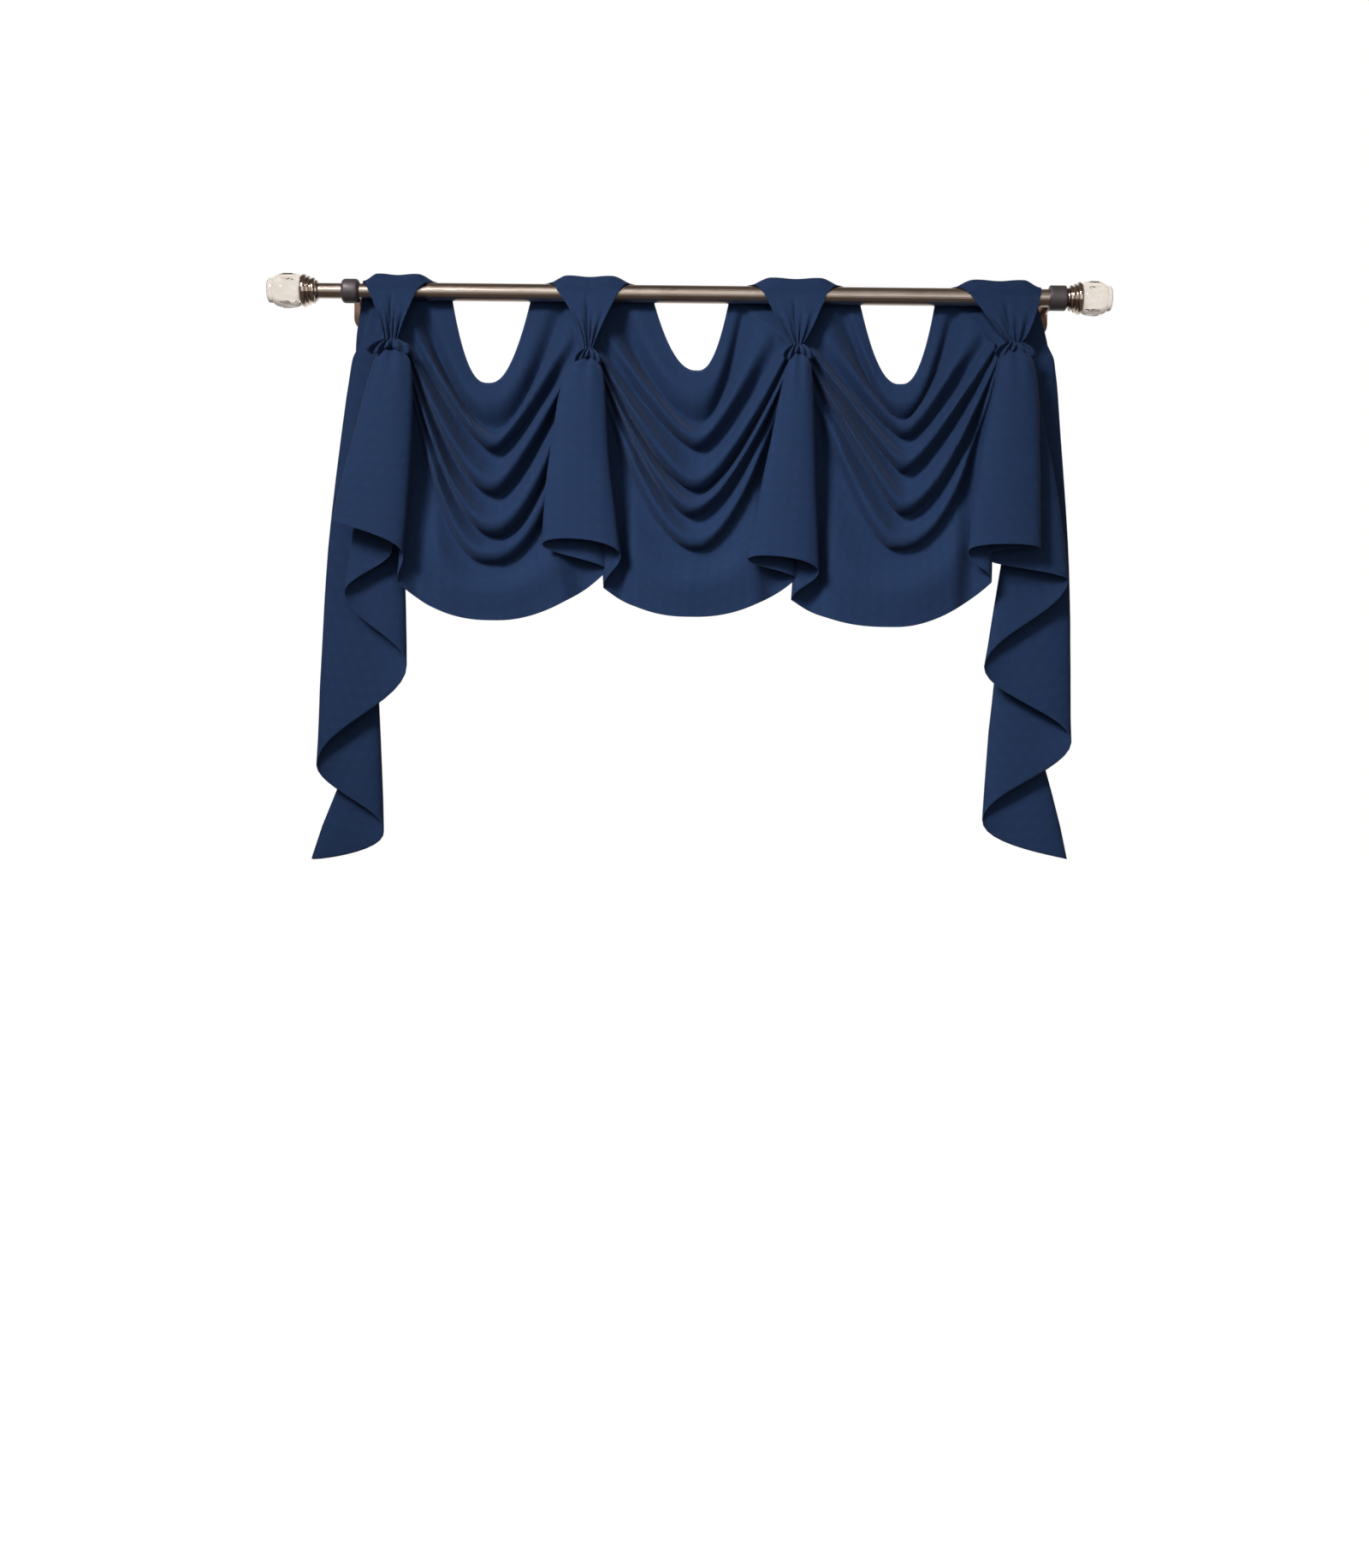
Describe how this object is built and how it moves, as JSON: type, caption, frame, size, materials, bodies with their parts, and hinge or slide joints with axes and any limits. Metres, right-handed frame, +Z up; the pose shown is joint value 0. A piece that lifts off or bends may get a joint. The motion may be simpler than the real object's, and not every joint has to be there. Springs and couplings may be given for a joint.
{
  "type": "swag valance curtain with cascade tails on a telescoping curtain rod",
  "caption": "Cloth valance of draped swags with gathered peaks over a metal rod, cascade tails at both sides, on two wall brackets.",
  "frame": {"origin": "on the wall plane, midway between the ends of the rod and level with its axis", "axes": "+X along the rod to the right as a viewer in the room sees it, +Y into the wall, +Z up"},
  "size_m": [0.936, 0.1446, 0.6599],
  "materials": {
    "cloth": "plain fine weave, matte, navy blue",
    "rod": "warm brushed nickel plate",
    "rings": "polished nickel plate",
    "glass": "clear cut glass",
    "cup": "satin dark grey",
    "bracket": "satin bronze plate"
  },
  "bodies": {
    "root": {"valance_cloth": "cloth", "rod_tube": "rod", "rod_slider": "rod", "finial_rings_left": "rings", "finial_rings_right": "rings", "finial_glass_left": "glass", "finial_glass_right": "glass", "bracket_cup_left": "cup", "bracket_cup_right": "cup", "bracket_plate_left": "bracket", "bracket_plate_right": "bracket"}
  },
  "joints": []
}
